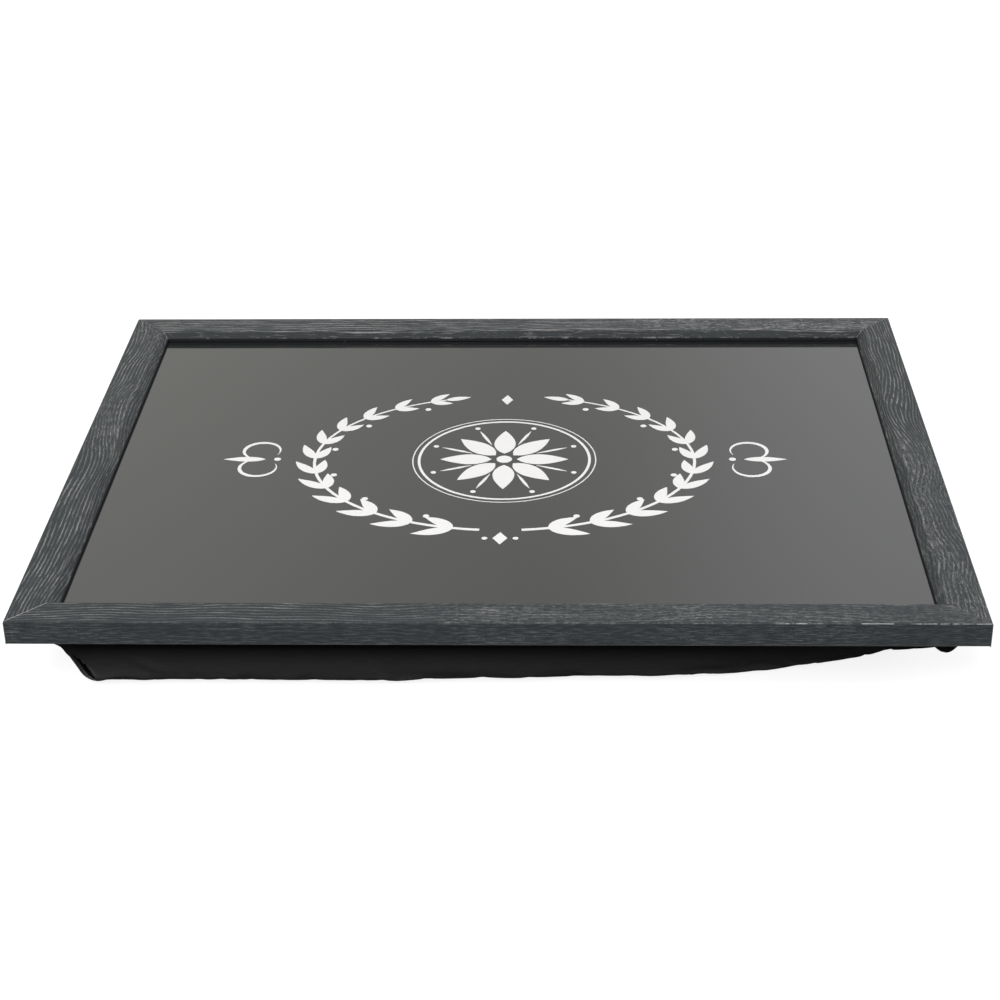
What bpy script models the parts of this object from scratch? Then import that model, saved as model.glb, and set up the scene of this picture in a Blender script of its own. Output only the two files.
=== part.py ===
"""A lap tray: a mitred wooden frame round a gloss panel, with a bead-filled cloth cushion stapled under it.

Lengths are in metres and +Z is up. The long side runs along X and the front faces -Y. The origin is on the
surface that the tray stands on, under the middle of the frame.
"""

import math

import bmesh
import bpy
from mathutils import Matrix, Vector

# The whole tray
TRAY_WIDTH = 0.440
TRAY_DEPTH = 0.343
CUSHION_HEIGHT = 0.038

# Clearances and cuts
FIT_GAP = 0.0003
BEAD_GAP = 0.0005
OVERRUN = 0.004
WELD_DISTANCE = 0.000003

# Rails: a flat top, a lip that slopes down to the panel, and a rebate under the lip
RAIL_FLAT = 0.017
LIP_RUN = 0.0037
LIP_DROP = 0.0036
LIP_WALL = 0.0019
REBATE_WIDTH = 0.006
ARRIS_RADIUS = 0.0008
LIP_RADIUS = 0.0006
SHOULDER_RADIUS = 0.0016
ARC_STEPS = 3
SHARP_ANGLE = math.radians(35)

# Panel: a fibreboard with a gloss decor sheet on it
BOARD_THICKNESS = 0.003
BOARD_PLAY = 0.0005
BOARD_BEVEL = 0.0003
DECOR_THICKNESS = 0.0005

# Glazing points: flat tongues pushed into the rebate under the board, above the rails' undersides
POINT_LENGTH = 0.014
POINT_WIDTH = 0.007
POINT_THICKNESS = 0.0004
POINT_TIP = 0.003
POINT_BITE = 0.006
POINT_MARGIN = 0.0017

# V-nails, two in each mitre, with a wall of wood left inside them
VNAIL_LEG = 0.0045
VNAIL_THICKNESS = 0.0005
VNAIL_HEIGHT = 0.007
VNAIL_WALL = 0.0012

# Staples through the bag's flange, the first and last of a side at some way from its ends
STAPLE_CROWN = 0.010
STAPLE_LEG = 0.0065
STAPLE_TIP = 0.0008
STAPLE_WIRE = 0.0006
STAPLE_BEND = 0.0005
STAPLE_BREADTH = 0.0012
STAPLE_END = 0.035
LONG_SIDE_STAPLES = 6
SHORT_SIDE_STAPLES = 4

# Bag: cloths, the flange's two margins about the staples, and the steps from ring to ring down its side
COVER_CLOTH = 0.0012
LINER_CLOTH = 0.0004
FLANGE_MARGIN = 0.0023
FLANGE_CORNER = 0.006
SEAM_MARGIN = 0.0066
SIDE_STEP = 0.005
EDGE_STEP = 0.0055
BOTTOM_STEP = 0.0115
SIDE_HEIGHT_SHARE = 0.585
FLOOR_CUT = 0.0005

# The right-front corner holds fewer beads, so its lower edge is drawn in
SLACK_DRAW_BACK = 0.026
SLACK_DRAW_SIDE = 0.012
SLACK_START_X_SHARE = 0.39
SLACK_START_Y_SHARE = 0.12

# Cage of the bag: rings of a square grid, from the middle out. Smoothing draws a ring's corners in, so a
# negative corner share pushes them out first. The slack shares say how far each ring follows the slack.
SEAM_RING = 4
CORNER_CROWDING = 2.4
CORNER_SHARES = (0.0, -0.10, -0.12, 0.0, 0.0, 0.0)
SLACK_SHARES = (0.0, 1.0, 1.0, 0.5, 0.0, 0.0)

# Heights that follow, from the floor up
FRAME_BASE = CUSHION_HEIGHT
LINER_TOP = FRAME_BASE - FIT_GAP
FLANGE_TOP = LINER_TOP - LINER_CLOTH - FIT_GAP
FLANGE_UNDER = FLANGE_TOP - COVER_CLOTH
CROWN_UNDER = FLANGE_UNDER - FIT_GAP - STAPLE_WIRE
POINT_TOP = FRAME_BASE + POINT_MARGIN + POINT_THICKNESS
BOARD_TOP = POINT_TOP + FIT_GAP + BOARD_THICKNESS
DECOR_TOP = BOARD_TOP + FIT_GAP + DECOR_THICKNESS
LIP_UNDER = DECOR_TOP + FIT_GAP - FRAME_BASE
FRAME_HEIGHT = LIP_UNDER + LIP_WALL + LIP_DROP

# Insets that follow, from the frame's outer faces inwards
RAIL_BODY = RAIL_FLAT + LIP_RUN - REBATE_WIDTH
VNAIL_INNER = RAIL_BODY - VNAIL_WALL - VNAIL_LEG
VNAIL_OUTER = VNAIL_INNER / 2
STAPLE_INSET = RAIL_BODY / 2
FLANGE_INSET = STAPLE_INSET - FLANGE_MARGIN
SEAM_INSET = STAPLE_INSET + SEAM_MARGIN
SIDE_INSET = SEAM_INSET + SIDE_STEP
EDGE_INSET = SIDE_INSET + EDGE_STEP
BOTTOM_INSET = EDGE_INSET + BOTTOM_STEP
LINED = COVER_CLOTH + BEAD_GAP

# Name, turn about Z in quarters, length, distance from the middle, number of staples
RAILS = (
    ("front", 0, TRAY_WIDTH, TRAY_DEPTH / 2, LONG_SIDE_STAPLES),
    ("right", 1, TRAY_DEPTH, TRAY_WIDTH / 2, SHORT_SIDE_STAPLES),
    ("back", 2, TRAY_WIDTH, TRAY_DEPTH / 2, LONG_SIDE_STAPLES),
    ("left", 3, TRAY_DEPTH, TRAY_WIDTH / 2, SHORT_SIDE_STAPLES),
)
CORNERS = (
    ("front_left", 0, -TRAY_WIDTH / 2, -TRAY_DEPTH / 2),
    ("front_right", 1, TRAY_WIDTH / 2, -TRAY_DEPTH / 2),
    ("back_right", 2, TRAY_WIDTH / 2, TRAY_DEPTH / 2),
    ("back_left", 3, -TRAY_WIDTH / 2, TRAY_DEPTH / 2),
)

MATERIALS = {
    "charcoal_wood": ((0.075, 0.079, 0.080), 0.50, 0.0),
    "gloss_decor": ((0.022, 0.024, 0.026), 0.12, 0.0),
    "fibreboard": ((0.30, 0.20, 0.12), 0.80, 0.0),
    "black_cloth": ((0.012, 0.012, 0.013), 0.90, 0.0),
    "liner_cloth": ((0.030, 0.030, 0.032), 0.95, 0.0),
    "foam_beads": ((0.85, 0.85, 0.84), 0.80, 0.0),
    "steel": ((0.56, 0.57, 0.58), 0.35, 1.0),
}


def clear_scene():
    for thing in list(bpy.data.objects):
        bpy.data.objects.remove(thing, do_unlink=True)


def new_collection(name):
    collection = bpy.data.collections.new(name)
    bpy.context.scene.collection.children.link(collection)
    return collection


def new_material(name):
    colour, roughness, metallic = MATERIALS[name]
    material = bpy.data.materials.new(name)
    material.use_nodes = True
    shader = material.node_tree.nodes["Principled BSDF"]
    shader.inputs["Base Color"].default_value = (*colour, 1.0)
    shader.inputs["Roughness"].default_value = roughness
    shader.inputs["Metallic"].default_value = metallic
    return material


def add_object(name, mesh, collection, material=None):
    thing = bpy.data.objects.new(name, mesh)
    collection.objects.link(thing)
    if material:
        mesh.materials.clear()
        mesh.materials.append(material)
    return thing


def quarter_turn(quarters):
    return Matrix.Rotation(quarters * math.pi / 2, 4, "Z")


def rounded(corners):
    """The outline through corners of (x, y, radius), with an arc at each corner that has a radius."""
    points = []
    for index, (x, y, radius) in enumerate(corners):
        corner = Vector((x, y))
        if not radius:
            points.append(corner)
            continue
        before = (Vector(corners[index - 1][:2]) - corner).normalized()
        after = (Vector(corners[(index + 1) % len(corners)][:2]) - corner).normalized()
        half = before.angle(after) / 2
        centre = corner + (before + after).normalized() * radius / math.sin(half)
        start = corner + before * radius / math.tan(half) - centre
        end = corner + after * radius / math.tan(half) - centre
        for step in range(ARC_STEPS + 1):
            share = step / ARC_STEPS
            turn = start.angle_signed(end) * share
            points.append(centre + Matrix.Rotation(-turn, 2) @ start)
    return points


def extruded(outline, thickness):
    """A closed mesh of a flat outline, half its thickness to each side of the XY plane."""
    curve = bpy.data.curves.new("outline", "CURVE")
    curve.dimensions = "2D"
    curve.fill_mode = "BOTH"
    curve.extrude = thickness / 2
    spline = curve.splines.new("POLY")
    spline.points.add(len(outline) - 1)
    for point, place in zip(spline.points, outline):
        point.co = (place[0], place[1], 0, 1)
    spline.use_cyclic_u = True
    holder = bpy.data.objects.new("outline", curve)
    bpy.context.scene.collection.objects.link(holder)
    bpy.context.view_layer.update()
    mesh = bpy.data.meshes.new_from_object(holder.evaluated_get(bpy.context.evaluated_depsgraph_get()))
    bpy.data.objects.remove(holder, do_unlink=True)
    bm = bmesh.new()
    bm.from_mesh(mesh)
    bmesh.ops.remove_doubles(bm, verts=bm.verts, dist=WELD_DISTANCE)
    bmesh.ops.recalc_face_normals(bm, faces=bm.faces)
    bm.to_mesh(mesh)
    bm.free()
    return mesh


def block(name, size, centre, collection, material=None, bevel=0):
    bpy.ops.mesh.primitive_cube_add(size=1, location=centre)
    thing = bpy.context.object
    thing.name = name
    thing.scale = size
    bpy.ops.object.transform_apply(location=False, rotation=False, scale=True)
    for holder in list(thing.users_collection):
        holder.objects.unlink(thing)
    collection.objects.link(thing)
    if material:
        thing.data.materials.append(material)
    if bevel:
        edge = thing.modifiers.new("arris", "BEVEL")
        edge.width = bevel
        edge.segments = 2
    return thing


def joined_cutter(name, meshes, collection):
    """One cutter made of several closed meshes that are placed already."""
    bm = bmesh.new()
    for mesh in meshes:
        bm.from_mesh(mesh)
        bpy.data.meshes.remove(mesh)
    mesh = bpy.data.meshes.new(name)
    bm.to_mesh(mesh)
    bm.free()
    cutter = add_object(name, mesh, collection)
    cutter.hide_render = True
    cutter.display_type = "WIRE"
    return cutter


def cut(thing, cutter):
    step = thing.modifiers.new(cutter.name, "BOOLEAN")
    step.operation = "DIFFERENCE"
    step.solver = "EXACT"
    step.object = cutter


def rail_section():
    """Corners of a rail's section: inwards from its outer face, up from its underside, and radius."""
    lip_edge = RAIL_FLAT + LIP_RUN
    return [
        (0, 0, ARRIS_RADIUS),
        (RAIL_BODY, 0, 0),
        (RAIL_BODY, LIP_UNDER, 0),
        (lip_edge, LIP_UNDER, 0),
        (lip_edge, FRAME_HEIGHT - LIP_DROP, LIP_RADIUS),
        (RAIL_FLAT, FRAME_HEIGHT, SHOULDER_RADIUS),
        (0, FRAME_HEIGHT, ARRIS_RADIUS),
    ]


def rail_mesh(length):
    """A rail along X, its outer face on Y = 0 and its underside on Z = 0, mitred at both ends."""
    mesh = extruded(rounded(rail_section()), length + OVERRUN)
    lay_along_x = Matrix(((0, 0, 1, 0), (1, 0, 0, 0), (0, 1, 0, 0), (0, 0, 0, 1)))
    mesh.transform(lay_along_x)
    bm = bmesh.new()
    bm.from_mesh(mesh)
    for end in (-1, 1):
        normal = Vector((end, 1, 0)).normalized()
        place = Vector((end * length / 2, 0, 0)) - normal * FIT_GAP / 2
        everything = bm.verts[:] + bm.edges[:] + bm.faces[:]
        bmesh.ops.bisect_plane(bm, geom=everything, plane_co=place, plane_no=normal, clear_outer=True)
        rim = [edge for edge in bm.edges if edge.is_boundary]
        bmesh.ops.holes_fill(bm, edges=rim)
    bmesh.ops.recalc_face_normals(bm, faces=bm.faces)
    bm.to_mesh(mesh)
    bm.free()
    mesh.shade_smooth()
    mesh.set_sharp_from_angle(angle=SHARP_ANGLE)
    return mesh


def staple_places(length, count):
    first = -length / 2 + STAPLE_END
    spacing = (length - 2 * STAPLE_END) / (count - 1)
    return [first + spacing * index for index in range(count)]


def point_places(length, count):
    """The middle of every other gap between staples, so that points and staples don't meet."""
    staples = staple_places(length, count)
    return [(staples[index] + staples[index + 1]) / 2 for index in range(0, count - 1, 2)]


def on_rail(quarters, distance, along, inset, height):
    """Matrix of a thing that sits on a rail, with its own X along the rail and its Y towards the middle."""
    return quarter_turn(quarters) @ Matrix.Translation((along, inset - distance, height))


def staple_outline():
    side = STAPLE_CROWN / 2
    return [
        (-side, 0, STAPLE_BEND),
        (side, 0, STAPLE_BEND),
        (side, STAPLE_LEG - STAPLE_TIP, 0),
        (side - STAPLE_WIRE, STAPLE_LEG, 0),
        (side - STAPLE_WIRE, STAPLE_WIRE, 0),
        (-side + STAPLE_WIRE, STAPLE_WIRE, 0),
        (-side + STAPLE_WIRE, STAPLE_LEG, 0),
        (-side, STAPLE_LEG - STAPLE_TIP, 0),
    ]


def staple_mesh():
    mesh = extruded(rounded(staple_outline()), STAPLE_BREADTH)
    mesh.transform(Matrix.Rotation(math.pi / 2, 4, "X"))
    return mesh


def leg_hole_mesh(side):
    """A cutter for one leg, from the crown's underside to just past the leg's tip."""
    across = STAPLE_WIRE + 2 * FIT_GAP
    deep = STAPLE_BREADTH + 2 * FIT_GAP
    tall = STAPLE_LEG + 2 * FIT_GAP
    bm = bmesh.new()
    bmesh.ops.create_cube(bm, size=1)
    bmesh.ops.scale(bm, vec=(across, deep, tall), verts=bm.verts)
    middle = side * (STAPLE_CROWN - STAPLE_WIRE) / 2
    bmesh.ops.translate(bm, vec=(middle, 0, STAPLE_LEG / 2), verts=bm.verts)
    mesh = bpy.data.meshes.new("leg_hole")
    bm.to_mesh(mesh)
    bm.free()
    return mesh


def tongue_mesh(grow):
    """A glazing point: its tip drives outwards along -Y, and Y = 0 is the rebate's wall. A cutter grows."""
    side = POINT_WIDTH / 2 + grow
    tip = -POINT_BITE - grow
    tail = POINT_LENGTH - POINT_BITE
    outline = [
        (0, tip, 0),
        (side, tip + POINT_TIP, 0),
        (side, tail, 0),
        (-side, tail, 0),
        (-side, tip + POINT_TIP, 0),
    ]
    return extruded(rounded(outline), POINT_THICKNESS + 2 * grow)


def vnail_mesh(grow, height):
    """A V-nail from above: its apex is on the mitre, and a leg runs inwards along each of the two rails."""
    half = VNAIL_THICKNESS / 2 + grow
    reach = VNAIL_LEG + grow
    outline = [(-half, -half), (reach, -half), (reach, half), (half, half), (half, reach), (-half, reach)]
    return extruded(outline, height)


# Inset and height of the bag's rings, from the middle of its bottom up to the seam
BAG_RINGS = (
    (BOTTOM_INSET, -FLOOR_CUT),
    (BOTTOM_INSET, -FLOOR_CUT),
    (EDGE_INSET, -FLOOR_CUT),
    (SIDE_INSET, FLANGE_UNDER * SIDE_HEIGHT_SHARE),
    (SEAM_INSET, FLANGE_UNDER),
)
FLANGE_RING = (FLANGE_INSET, FLANGE_UNDER)
FILLING_TOP_RING = (BOTTOM_INSET, FLANGE_UNDER)


def ramp(share, start):
    """Nothing up to the start, and smoothly up to 1 at a share of 1."""
    part = min(max((share - start) / (1 - start), 0), 1)
    return part * part * (3 - 2 * part)


def crowded(share):
    """A place along a side, moved towards the nearer corner, where the bag turns most."""
    return math.copysign(1 - (1 - abs(share)) ** CORNER_CROWDING, share)


def bag_point(column, row, rings, lined):
    """Place of a cage point, whose column and row count from the middle. A lined point lies inside by that."""
    ring = max(abs(column), abs(row))
    inset, height = rings[ring]
    across = crowded(column / max(ring, 1))
    along = crowded(row / max(ring, 1))
    corner_share = CORNER_SHARES[ring]
    across_round = across * math.sqrt(1 - along * along / 2)
    along_round = along * math.sqrt(1 - across * across / 2)
    x = (TRAY_WIDTH / 2 - inset) * (across + (across_round - across) * corner_share)
    y = (TRAY_DEPTH / 2 - inset) * (along + (along_round - along) * corner_share)
    slack_x = ramp(x / (TRAY_WIDTH / 2 - EDGE_INSET), SLACK_START_X_SHARE)
    slack_y = ramp(-y / (TRAY_DEPTH / 2 - EDGE_INSET), SLACK_START_Y_SHARE)
    slack = slack_x * slack_y * SLACK_SHARES[ring]
    x -= SLACK_DRAW_SIDE * slack + lined * across
    y += SLACK_DRAW_BACK * slack - lined * along
    return x, y, min(height + lined, FLANGE_TOP)


def bag_cage(name, last_ring, lined):
    """The bag's cage: a square grid whose rings are bent down and in. A lined one has a flat top as well."""
    rings = (*BAG_RINGS, last_ring)
    outer = len(rings) - 1
    bm = bmesh.new()
    bmesh.ops.create_grid(bm, x_segments=2 * outer, y_segments=2 * outer, size=outer)
    crease = bm.edges.layers.float.new("crease_edge")
    ring_of = {vert: round(max(abs(vert.co.x), abs(vert.co.y))) for vert in bm.verts}
    for vert in bm.verts:
        vert.co = bag_point(round(vert.co.x), round(vert.co.y), rings, lined)
    if lined:
        bmesh.ops.holes_fill(bm, edges=[edge for edge in bm.edges if edge.is_boundary])
    for edge in bm.edges:
        if all(ring_of[vert] == SEAM_RING for vert in edge.verts):
            edge[crease] = 1
    bmesh.ops.recalc_face_normals(bm, faces=bm.faces)
    lowest = min(bm.faces, key=lambda face: face.calc_center_median().z)
    if lowest.normal.z > 0:
        bmesh.ops.reverse_faces(bm, faces=bm.faces)
    mesh = bpy.data.meshes.new(name)
    bm.to_mesh(mesh)
    bm.free()
    mesh.shade_smooth()
    return mesh


def subdivide(thing):
    step = thing.modifiers.new("smooth", "SUBSURF")
    step.levels = 1
    step.render_levels = 1


def make_frame(parts, material):
    rails = {}
    for name, quarters, length, distance, _ in RAILS:
        rail = add_object(f"{name}_rail", rail_mesh(length), parts, material)
        rail.matrix_world = on_rail(quarters, distance, 0, 0, FRAME_BASE)
        rails[name] = rail
    return rails


def make_vnails(parts, cutters, rails, material):
    slots = []
    nail_middle = FIT_GAP + VNAIL_HEIGHT / 2
    slot_height = OVERRUN + VNAIL_HEIGHT + 2 * FIT_GAP
    slot_middle = slot_height / 2 - OVERRUN
    for corner, quarters, corner_x, corner_y in CORNERS:
        for row, inset in (("outer", VNAIL_OUTER), ("inner", VNAIL_INNER)):
            place = (
                Matrix.Translation((corner_x, corner_y, FRAME_BASE))
                @ quarter_turn(quarters)
                @ Matrix.Translation((inset, inset, 0))
            )
            nail = add_object(f"vnail_{corner}_{row}", vnail_mesh(0, VNAIL_HEIGHT), parts, material)
            nail.matrix_world = place @ Matrix.Translation((0, 0, nail_middle))
            slot = vnail_mesh(FIT_GAP, slot_height)
            slot.transform(place @ Matrix.Translation((0, 0, slot_middle)))
            slots.append(slot)
    cutter = joined_cutter("vnail_slots", slots, cutters)
    for rail in rails.values():
        cut(rail, cutter)


def make_panel(parts, board_material, decor_material):
    width = TRAY_WIDTH - 2 * (RAIL_BODY + BOARD_PLAY)
    depth = TRAY_DEPTH - 2 * (RAIL_BODY + BOARD_PLAY)
    board_middle = BOARD_TOP - BOARD_THICKNESS / 2
    decor_middle = DECOR_TOP - DECOR_THICKNESS / 2
    block("tray_board", (width, depth, BOARD_THICKNESS), (0, 0, board_middle), parts, board_material, BOARD_BEVEL)
    block("decor_sheet", (width, depth, DECOR_THICKNESS), (0, 0, decor_middle), parts, decor_material)


def make_points(parts, cutters, rails, material):
    for side, quarters, length, distance, count in RAILS:
        slots = []
        for number, along in enumerate(point_places(length, count), 1):
            place = on_rail(quarters, distance, along, RAIL_BODY, POINT_TOP - POINT_THICKNESS / 2)
            point = add_object(f"point_{side}_{number}", tongue_mesh(0), parts, material)
            point.matrix_world = place
            slot = tongue_mesh(FIT_GAP)
            slot.transform(place)
            slots.append(slot)
        cut(rails[side], joined_cutter(f"point_slots_{side}", slots, cutters))


def make_staples(parts, cutters, material):
    """The staples, and one cutter of the holes that their legs need."""
    holes = []
    for side, quarters, length, distance, count in RAILS:
        for number, along in enumerate(staple_places(length, count), 1):
            place = on_rail(quarters, distance, along, STAPLE_INSET, CROWN_UNDER)
            staple = add_object(f"staple_{side}_{number}", staple_mesh(), parts, material)
            staple.matrix_world = place
            for leg in (-1, 1):
                hole = leg_hole_mesh(leg)
                hole.transform(place)
                holes.append(hole)
    return joined_cutter("staple_holes", holes, cutters)


def make_liner(parts, material):
    side_x = TRAY_WIDTH / 2 - FLANGE_INSET
    side_y = TRAY_DEPTH / 2 - FLANGE_INSET
    outline = [
        (-side_x, -side_y, FLANGE_CORNER),
        (side_x, -side_y, FLANGE_CORNER),
        (side_x, side_y, FLANGE_CORNER),
        (-side_x, side_y, FLANGE_CORNER),
    ]
    liner = add_object("cushion_liner", extruded(rounded(outline), LINER_CLOTH), parts, material)
    liner.location.z = LINER_TOP - LINER_CLOTH / 2
    return liner


def make_cover(parts, cutters, material):
    cage = bag_cage("cushion_cover", FLANGE_RING, 0)
    cover = add_object("cushion_cover", cage, parts, material)
    subdivide(cover)
    cloth = cover.modifiers.new("cloth", "SOLIDIFY")
    cloth.thickness = COVER_CLOTH
    cloth.offset = -1
    cloth.use_even_offset = True
    below = (TRAY_WIDTH, TRAY_DEPTH, 2 * OVERRUN)
    floor = block("floor_cut", below, (0, 0, -OVERRUN), cutters)
    floor.hide_render = True
    floor.display_type = "WIRE"
    cut(cover, floor)
    return cover


def make_filling(parts, material):
    cage = bag_cage("bead_filling", FILLING_TOP_RING, LINED)
    subdivide(add_object("bead_filling", cage, parts, material))


def main():
    clear_scene()
    parts = new_collection("lap_tray")
    cutters = new_collection("cutters")
    finish = {name: new_material(name) for name in MATERIALS}
    rails = make_frame(parts, finish["charcoal_wood"])
    make_vnails(parts, cutters, rails, finish["steel"])
    make_panel(parts, finish["fibreboard"], finish["gloss_decor"])
    make_points(parts, cutters, rails, finish["steel"])
    staple_holes = make_staples(parts, cutters, finish["steel"])
    liner = make_liner(parts, finish["liner_cloth"])
    cover = make_cover(parts, cutters, finish["black_cloth"])
    for pierced in (*rails.values(), liner, cover):
        cut(pierced, staple_holes)
    make_filling(parts, finish["foam_beads"])


main()
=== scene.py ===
"""Looks of the lap tray: finishes, the soft cushion, the ornament on the panel, light and camera.

Lengths are in metres, in the frame of the CAD part: +Z is up, the front faces -Y, and the tray
stands on Z = 0.
"""

import math

import bpy
import numpy as np
from mathutils import Matrix, Vector


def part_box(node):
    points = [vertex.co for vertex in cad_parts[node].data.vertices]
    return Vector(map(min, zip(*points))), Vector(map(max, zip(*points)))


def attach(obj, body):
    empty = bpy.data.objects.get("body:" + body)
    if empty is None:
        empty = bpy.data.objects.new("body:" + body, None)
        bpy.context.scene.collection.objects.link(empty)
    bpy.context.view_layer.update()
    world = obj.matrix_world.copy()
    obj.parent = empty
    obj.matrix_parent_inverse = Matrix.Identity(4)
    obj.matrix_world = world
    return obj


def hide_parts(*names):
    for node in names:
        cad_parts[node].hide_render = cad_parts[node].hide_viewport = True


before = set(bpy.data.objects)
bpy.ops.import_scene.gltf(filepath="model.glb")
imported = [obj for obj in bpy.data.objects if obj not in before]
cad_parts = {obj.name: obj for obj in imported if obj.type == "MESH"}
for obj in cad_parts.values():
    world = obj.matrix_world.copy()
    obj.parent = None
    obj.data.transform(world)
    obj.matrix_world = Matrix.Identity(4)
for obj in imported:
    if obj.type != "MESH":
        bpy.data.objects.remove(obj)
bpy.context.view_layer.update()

# Places taken from the frame
SIDES = ("front", "right", "back", "left")
TRAY_HALF = Vector((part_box("right_rail")[1].x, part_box("back_rail")[1].y))
FRAME_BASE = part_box("front_rail")[0].z
FRAME_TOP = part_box("front_rail")[1].z
PANEL_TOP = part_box("decor_sheet")[1].z
FLANGE_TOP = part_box("cushion_cover")[1].z
FLANGE_INSET = TRAY_HALF.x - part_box("cushion_cover")[1].x
LINER_LOW, LINER_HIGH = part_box("cushion_liner")

# The photograph's camera
CAMERA_PLACE = Vector((0.0303, -0.9739, 0.5386))
CAMERA_PITCH = math.radians(28.002)
CAMERA_YAW = math.radians(-1.93)
CAMERA_ROLL = math.radians(-0.873)
FOCAL_LENGTH_MM = 76.158
SENSOR_MM = 36

# The rail's section, as in the CAD source
RAIL_FLAT = 0.017
LIP_RUN = 0.0037
LIP_DROP = 0.0036
RAIL_BODY = 0.0147
LIP_END = RAIL_FLAT + LIP_RUN

# The cushion, as in the CAD source
COVER_CLOTH = 0.0012
FLANGE_UNDER = FLANGE_TOP - COVER_CLOTH
SEAM_INSET = RAIL_BODY / 2 + 0.0066
SIDE_INSET = SEAM_INSET + 0.0050
EDGE_INSET = SIDE_INSET + 0.0055

# The slack right front corner: where it starts towards the front, how far its side is drawn in and where
SLACK_START_Y_SHARE = 0.12
SLACK_DRAW_SIDE = 0.004
SLACK_SIDE_RANGE = (0.62, 0.97)

# Its lower edge is drawn back in steps: way back, and share of the way across from and to
SLACK_STEPS = ((0.0050, -0.20, 0.35), (0.0127, 0.45, 0.78), (0.0083, 0.82, 0.97))


class Tree:
    """A node tree, with short calls for the nodes that the finishes and the world share."""

    def __init__(self, tree):
        self.tree = tree

    def add(self, kind, inputs=None, **settings):
        node = self.tree.nodes.new(kind)
        for key, value in settings.items():
            setattr(node, key, value)
        for key, value in (inputs or {}).items():
            self.feed(node.inputs[key], value)
        return node

    def feed(self, socket, value):
        if isinstance(value, bpy.types.NodeSocket):
            self.tree.links.new(value, socket)
        elif socket.type == "RGBA" and len(value) == 3:
            socket.default_value = (*value, 1)
        else:
            socket.default_value = value

    def out(self, kind, inputs, **settings):
        return self.add(kind, inputs, **settings).outputs[0]

    def math(self, operation, first, second=0.0, third=0.0):
        return self.out("ShaderNodeMath", {0: first, 1: second, 2: third}, operation=operation)

    def plus(self, first, second):
        return self.math("ADD", first, second)

    def minus(self, first, second):
        return self.math("SUBTRACT", first, second)

    def times(self, product, *factors):
        for factor in factors:
            product = self.math("MULTIPLY", product, factor)
        return product

    def distance(self, first, second):
        return self.math("ABSOLUTE", self.minus(first, second))

    def xyz(self, place):
        return tuple(self.add("ShaderNodeSeparateXYZ", {0: place}).outputs)

    def vector(self, x, y, z):
        return self.out("ShaderNodeCombineXYZ", {0: x, 1: y, 2: z})

    def stretched(self, place, scales, shift=(0, 0, 0)):
        return self.out("ShaderNodeMapping", {"Vector": place, "Scale": scales, "Location": shift})

    def noise(self, place, scale=1.0, detail=2.0, roughness=0.5):
        settings = {"Vector": place, "Scale": scale, "Detail": detail, "Roughness": roughness}
        return self.out("ShaderNodeTexNoise", settings)

    def cells(self, place, scale=1.0):
        """Distance from the middle of the nearest cell."""
        return self.out("ShaderNodeTexVoronoi", {"Vector": place, "Scale": scale})

    def fit(self, value, low, high, to_low=0.0, to_high=1.0, smooth=True):
        """The value's range from low to high, spread over another range and held at its ends."""
        settings = {"Value": value, "From Min": low, "From Max": high, "To Min": to_low, "To Max": to_high}
        kind = "SMOOTHSTEP" if smooth else "LINEAR"
        return self.out("ShaderNodeMapRange", settings, interpolation_type=kind)

    def mix(self, share, first, second):
        return self.out("ShaderNodeMix", {0: share, 2: first, 3: second}, data_type="FLOAT")

    def blend(self, share, first, second):
        node = self.add("ShaderNodeMix", {0: share, 6: first, 7: second}, data_type="RGBA")
        return node.outputs[2]

    def colours(self, share, stops):
        """A colour ramp through stops of (place, colour)."""
        node = self.add("ShaderNodeValToRGB", {0: share})
        elements = node.color_ramp.elements
        while len(elements) < len(stops):
            elements.new(0.5)
        for element, (place, colour) in zip(elements, stops):
            element.position = place
            element.color = (*colour, 1)
        return node.outputs[0]

    def bump(self, height, depth, strength=1.0, under=None):
        """Bump of a height from 0 to 1 that stands for a depth in metres."""
        settings = {"Height": height, "Distance": depth, "Strength": strength}
        if under:
            settings["Normal"] = under
        return self.out("ShaderNodeBump", settings)


class Finish(Tree):
    """A material made of nodes round one shader."""

    def __init__(self, name, roughness=0.5, specular=0.5):
        self.material = bpy.data.materials.new(name)
        self.material.use_nodes = True
        super().__init__(self.material.node_tree)
        self.shader = self.tree.nodes["Principled BSDF"]
        self.set(Roughness=roughness)
        self.shader.inputs["Specular IOR Level"].default_value = specular
        self.object_place = self.add("ShaderNodeTexCoord").outputs["Object"]

    def set(self, **inputs):
        for key, value in inputs.items():
            self.feed(self.shader.inputs[key.replace("_", " ")], value)


def grey(value, blue=0.0):
    """A linear colour from a display grey of 0 to 255, with a little more blue where it says so."""
    def linear(display):
        share = display / 255
        return share / 12.92 if share <= 0.04045 else ((share + 0.055) / 1.055) ** 2.4
    return linear(value - blue), linear(value), linear(value + blue * 0.6)


# The emboss on the rails: how far apart its lines are and how far they shiver, and the shape of its flecks
GRAIN_PITCH = 0.0021
GRAIN_SHIVER = (1.15, 0.55)
FLECK_THICKNESS = 0.00125
FLECK_SWAY = 0.010
FLECK_BEND = 0.0022
EMBOSS_DEPTH = 0.00022

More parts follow.
